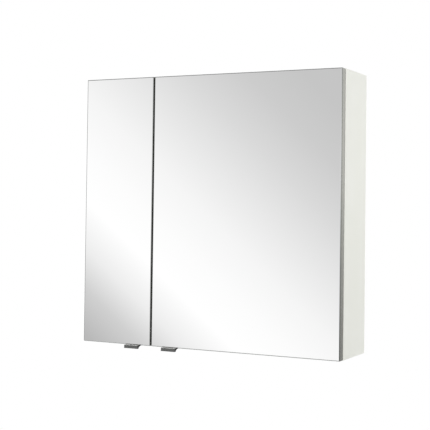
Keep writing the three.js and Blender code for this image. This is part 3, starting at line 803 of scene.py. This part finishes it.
def plated_steel(name, light, dark, smoothest, roughest, mottle):
    # Plated steel: bright grey with faint drawn marks; mottle is the size of the marks.
    made, tree, shader, place = surface(name)
    marks = node(tree, "ShaderNodeTexNoise", {
        "Vector": place, "Scale": 1 / mottle, "Detail": 3.0,
    })
    tone = node(tree, "ShaderNodeValToRGB", {"Fac": marks.outputs["Fac"]}, stops=[
        (0.35, dark), (0.65, light),
    ])
    rough = node(tree, "ShaderNodeMapRange", {
        "Value": marks.outputs["Fac"], "From Min": 0.3, "From Max": 0.7,
        "To Min": smoothest, "To Max": roughest,
    })
    set_sockets(tree, shader, {
        "Base Color": tone.outputs[0], "Metallic": 1.0, "Roughness": rough.outputs[0],
    })
    return made


def open_tree(name, lengths):
    """A Geometry Nodes tree with a named input for each length and for the finish."""
    tree = bpy.data.node_groups.new(name, "GeometryNodeTree")
    tree.is_modifier = True
    tree.interface.new_socket("Points", in_out="INPUT", socket_type="NodeSocketGeometry")
    for label in lengths:
        tree.interface.new_socket(label, in_out="INPUT", socket_type="NodeSocketFloat")
    tree.interface.new_socket("Finish", in_out="INPUT", socket_type="NodeSocketMaterial")
    tree.interface.new_socket("Geometry", in_out="OUTPUT", socket_type="NodeSocketGeometry")
    return tree, node(tree, "NodeGroupInput").outputs


def close_tree(tree, given, shape, scale, roll):
    """Sets shape on every point, its Z along the point's facing, and ends the tree."""
    facing = node(tree, "GeometryNodeInputNamedAttribute", {"Name": "facing"},
                  data_type="FLOAT_VECTOR")
    outward = node(tree, "FunctionNodeAlignRotationToVector", {
        "Vector": facing.outputs["Attribute"],
    }, axis="Z")
    upright = node(tree, "FunctionNodeAlignRotationToVector", {
        "Rotation": outward.outputs[0], "Vector": (0.0, 0.0, 1.0),
    }, axis="Y", pivot_axis="Z")
    set_out = node(tree, "GeometryNodeInstanceOnPoints", {
        "Points": given["Points"], "Instance": shape, "Rotation": upright.outputs[0],
        "Scale": scale,
    })
    turned = node(tree, "GeometryNodeRotateInstances", {
        "Instances": set_out.outputs[0], "Rotation": roll,
    })
    whole = node(tree, "GeometryNodeRealizeInstances", {0: turned.outputs[0]})
    finished = node(tree, "GeometryNodeSetMaterial", {
        "Geometry": whole.outputs[0], "Material": given["Finish"],
    })
    node(tree, "NodeGroupOutput", {"Geometry": finished.outputs[0]})


def grown(name, tree, points, inputs):
    """A plain mesh from a tree and from points given as (place, facing, size)."""
    round_below = math.radians(35)
    mesh = bpy.data.meshes.new(name)
    mesh.from_pydata([place for place, _, _ in points], [], [])
    for label, column in (("facing", 1), ("size", 2)):
        held = mesh.attributes.new(label, "FLOAT_VECTOR", "POINT")
        for entry, point in zip(held.data, points):
            entry.vector = point[column]
    piece = bpy.data.objects.new(name, mesh)
    bpy.context.collection.objects.link(piece)
    maker = piece.modifiers.new("grown", "NODES")
    maker.node_group = tree
    for socket in tree.interface.items_tree:
        if socket.name in inputs:
            maker[socket.identifier] = inputs[socket.name]
    baked(piece)
    smooth_below(piece, round_below)
    return piece


def turned_support():
    """The support's tree: collar, stub cut flat on top, and the pin in the board."""
    tree, given = open_tree("turned_support", (
        "Pin Radius", "Pin Length", "Collar Radius", "Collar Start", "Collar End",
        "Stub Radius", "Reach", "Flat Height",
    ))

    def rod(radius, start, end):
        """A round length of the pin between two places along it."""
        length = node(tree, "ShaderNodeMath", {0: end, 1: start}, operation="SUBTRACT")
        middle = node(tree, "ShaderNodeMath", {
            0: length.outputs[0], 1: 0.5, 2: start,
        }, operation="MULTIPLY_ADD")
        body = node(tree, "GeometryNodeMeshCylinder", {
            "Vertices": 32, "Radius": radius, "Depth": length.outputs[0],
        })
        place = node(tree, "ShaderNodeCombineXYZ", {"Z": middle.outputs[0]})
        return node(tree, "GeometryNodeTransform", {
            "Geometry": body.outputs["Mesh"], "Translation": place.outputs[0],
        }).outputs[0]

    past = node(tree, "ShaderNodeMath", {
        0: given["Reach"], 1: 2.0,
    }, operation="MULTIPLY").outputs[0]
    width = node(tree, "ShaderNodeCombineXYZ", {"X": past, "Y": given["Stub Radius"], "Z": past})
    lift = node(tree, "ShaderNodeMath", {
        0: given["Stub Radius"], 1: 0.5, 2: given["Flat Height"],
    }, operation="MULTIPLY_ADD")
    rest = node(tree, "ShaderNodeMath", {
        0: given["Reach"], 1: given["Collar End"],
    }, operation="ADD")
    away = node(tree, "ShaderNodeCombineXYZ", {"Y": lift.outputs[0], "Z": rest.outputs[0]})
    block = node(tree, "GeometryNodeTransform", {
        "Geometry": node(tree, "GeometryNodeMeshCube", {"Size": width.outputs[0]}).outputs["Mesh"],
        "Translation": away.outputs[0],
    })
    pin_end = node(tree, "ShaderNodeMath", {
        0: given["Pin Length"], 1: -1.0,
    }, operation="MULTIPLY").outputs[0]
    joined = node(tree, "GeometryNodeMeshBoolean", operation="UNION", solver="EXACT")
    for rod_made in (
        rod(given["Pin Radius"], pin_end, given["Collar End"]),
        rod(given["Collar Radius"], given["Collar Start"], given["Collar End"]),
        rod(given["Stub Radius"], given["Collar Start"], given["Reach"]),
    ):
        tree.links.new(rod_made, joined.inputs["Mesh 2"])
    flat = node(tree, "GeometryNodeMeshBoolean", {
        "Mesh 1": joined.outputs["Mesh"], "Mesh 2": block.outputs[0],
    }, operation="DIFFERENCE", solver="EXACT")
    close_tree(tree, given, flat.outputs["Mesh"], (1.0, 1.0, 1.0), (0.0, 0.0, 0.0))
    return tree


nickel = plated_steel(
    "nickel_plated_steel", "#d6d6d3", "#c8c8c5", smoothest=0.18, roughest=0.32, mottle=0.003)
support_pin = 0.0025
support_pin_length = 0.0075
support_collar = 0.0045
support_collar_length = 0.0015
support_stub = 0.0035
support_flat = 0.0015
seat = 0.0003
supports = [name for name in nodes if "_support_" in name]
support_points = []
for source in supports:
    low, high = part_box(source)
    into = 1 if source.endswith("_left") else -1
    face = (low.x if into > 0 else high.x) + into * support_pin_length
    axis_z = low.z + support_collar
    reach = high.x - low.x - support_pin_length
    support_points.append(((face, (low.y + high.y) / 2, axis_z), (into, 0, 0), (1, 1, 1)))
pins = grown("shelf_supports_turned", turned_support(), support_points, {
    "Pin Radius": support_pin, "Pin Length": support_pin_length, "Collar Radius": support_collar,
    "Collar Start": seat, "Collar End": seat + support_collar_length, "Stub Radius": support_stub,
    "Reach": reach, "Flat Height": support_flat, "Finish": nickel,
})
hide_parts(*supports)
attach(pins, "cabinet")


# ---- hinges and hangers ------------------------------------------------------------------
# Concealed hinges are pressed and riveted from nickel-plated steel. The hangers in the rear
# recess are zinc plated.

zinc = plated_steel(
    "zinc_plated_steel", "#b4b8bb", "#9ea2a6", smoothest=0.30, roughest=0.48, mottle=0.004)
for source in list(nodes):
    if "_hinge_" in source:
        dressed(source, "plated", nickel, rounding=0.00015, segments=1)
    elif "_hanger_" in source:
        dressed(source, "plated", zinc, rounding=0.0003, segments=1)


# ---- screws ------------------------------------------------------------------------------
# Cross-recessed screws: two in each mounting plate, two in each cup, two in each pull, and the
# adjusting screws of the arms, plates and hooks. Heads are domed and nickel plated.

def cross_recess_screw():
    """The screw's tree: a domed head of unit size, cut by a cross."""
    tree, given = open_tree("cross_recess_screw", ("Recess Reach", "Recess Width", "Recess Depth"))
    head = node(tree, "GeometryNodeMeshUVSphere", {"Segments": 32, "Rings": 14, "Radius": 1.0})
    deep = node(tree, "ShaderNodeMath", {
        0: given["Recess Depth"], 1: 2.0,
    }, operation="MULTIPLY").outputs[0]
    cut = node(tree, "GeometryNodeMeshBoolean", {
        "Mesh 1": head.outputs["Mesh"],
    }, operation="DIFFERENCE", solver="EXACT")
    for long_side, short_side in (("X", "Y"), ("Y", "X")):
        size = node(tree, "ShaderNodeCombineXYZ", {
            long_side: given["Recess Reach"], short_side: given["Recess Width"], "Z": deep,
        })
        bar = node(tree, "GeometryNodeTransform", {
            "Geometry": node(tree, "GeometryNodeMeshCube", {"Size": size.outputs[0]}).outputs[0],
            "Translation": (0.0, 0.0, 1.0),
        })
        tree.links.new(bar.outputs[0], cut.inputs["Mesh 2"])
    roll = node(tree, "FunctionNodeRandomValue", {
        "Min": 0.0, "Max": math.pi / 2, "Seed": 7,
    }, data_type="FLOAT")
    turn = node(tree, "ShaderNodeCombineXYZ", {"Z": roll.outputs["Value"]})
    size = node(tree, "GeometryNodeInputNamedAttribute", {"Name": "size"},
                data_type="FLOAT_VECTOR")
    close_tree(tree, given, cut.outputs["Mesh"], size.outputs["Attribute"], turn.outputs[0])
    return tree


def domed(radius, height):
    """The half sizes of a domed head or drop, its centre at the surface it stands on."""
    return (radius, radius, height)


screw_tree = cross_recess_screw()
plate_screw = domed(0.0036, 0.0013)
plate_screw_y = -0.111
plate_screw_span = 0.032
foot_thickness = 0.0023
cup_screw = domed(0.0036, 0.0012)
cup_screw_span = 0.045
cup_screw_inset = 0.0155
overlay_screw = domed(0.0024, 0.0005)
overlay_screw_y = -0.117
overlay_screw_stand = 0.0192
depth_screw = domed(0.0044, 0.0006)
depth_screw_y = -0.090
depth_screw_stand = 0.0201
hook_screw = domed(0.0028, 0.0006)
hook_screw_z = 0.602
pull_screw = domed(0.0024, 0.0010)
pull_screw_span = 0.022
pull_screw_from_rear = 0.0031
pull_screw_below_top = 0.0016
screw_points = {"cabinet": [], "left_door": [], "right_door": []}
for side, into in (("left", 1), ("right", -1)):
    inward, door = (into, 0, 0), f"{side}_door"
    side_low, side_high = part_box(f"{side}_side")
    wall = side_high.x if side == "left" else side_low.x
    for level in ("lower", "upper"):
        plate_low, plate_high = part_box(f"{side}_{level}_hinge_mounting_plate")
        cup_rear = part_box(f"{side}_{level}_hinge_cup")[1].y
        hinge_z = (plate_low.z + plate_high.z) / 2
        for up in (-1, 1):
            plate_hole_z = hinge_z + up * plate_screw_span / 2
            cup_hole_z = hinge_z + up * cup_screw_span / 2
            screw_points["cabinet"].append((
                (wall + into * foot_thickness, plate_screw_y, plate_hole_z), inward, plate_screw,
            ))
            screw_points[door].append((
                (wall + into * cup_screw_inset, cup_rear, cup_hole_z), (0, 1, 0), cup_screw,
            ))
        for stand, y, screw in (
            (overlay_screw_stand, overlay_screw_y, overlay_screw),
            (depth_screw_stand, depth_screw_y, depth_screw),
        ):
            screw_points["cabinet"].append(((wall + into * stand, y, hinge_z), inward, screw))
    hook_low, hook_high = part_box(f"{side}_hanger_hook")
    screw_points["cabinet"].append((
        ((hook_low.x + hook_high.x) / 2, hook_low.y, hook_screw_z), (0, -1, 0), hook_screw,
    ))
    pull_low, pull_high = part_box(f"{side}_pull")
    for across in (-1, 1):
        screw_points[door].append(((
            (pull_low.x + pull_high.x) / 2 + across * pull_screw_span / 2,
            pull_high.y - pull_screw_from_rear, pull_high.z - pull_screw_below_top,
        ), (0, 0, -1), pull_screw))
for body, points in screw_points.items():
    screws = grown(f"{body}_screws", screw_tree, points, {
        "Recess Reach": 1.1, "Recess Width": 0.22, "Recess Depth": 0.6, "Finish": nickel,
    })
    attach(screws, body)


# ---- door bumpers ------------------------------------------------------------------------
# Self-adhesive drops of clear silicone on the backs of the doors, at the free corners, where
# they land on the front edges of the top and bottom panels.

def clear_silicone():
    # Clear silicone: soft, slightly milky and satin.
    specks_per_metre = 1500.0
    made, tree, shader, place = surface("clear_silicone")
    dust = node(tree, "ShaderNodeTexNoise", {
        "Vector": place, "Scale": specks_per_metre, "Detail": 2.0,
    })
    rough = node(tree, "ShaderNodeMapRange", {
        "Value": dust.outputs["Fac"], "To Min": 0.2, "To Max": 0.4,
    })
    set_sockets(tree, shader, {
        "Base Color": linear("#eef0ee"), "Roughness": rough.outputs[0], "IOR": 1.41,
        "Transmission Weight": 0.85,
    })
    return made


def silicone_drop():
    """The bumper's tree: a flattened round drop of unit size."""
    tree, given = open_tree("silicone_drop", ("Unit Radius",))
    drop = node(tree, "GeometryNodeMeshUVSphere", {
        "Segments": 32, "Rings": 14, "Radius": given["Unit Radius"],
    })
    size = node(tree, "GeometryNodeInputNamedAttribute", {"Name": "size"},
                data_type="FLOAT_VECTOR")
    close_tree(tree, given, drop.outputs["Mesh"], size.outputs["Attribute"], (0.0, 0.0, 0.0))
    return tree


drop_tree, silicone = silicone_drop(), clear_silicone()
bumper = domed(0.004, 0.0014)
bumper_inset = 0.007
for side, free in (("left", 1), ("right", -1)):
    low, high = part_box(f"{side}_door_board")
    x = (high.x if free > 0 else low.x) - free * bumper_inset
    points = [
        ((x, high.y, z), (0, 1, 0), bumper)
        for z in (low.z + bumper_inset, high.z - bumper_inset)
    ]
    bumpers = grown(f"{side}_door_bumpers", drop_tree, points, {
        "Unit Radius": 1.0, "Finish": silicone,
    })
    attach(bumpers, f"{side}_door")


# ---- sizes -----------------------------------------------------------------------------
# The corners of the finished pieces are found again.

low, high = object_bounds()
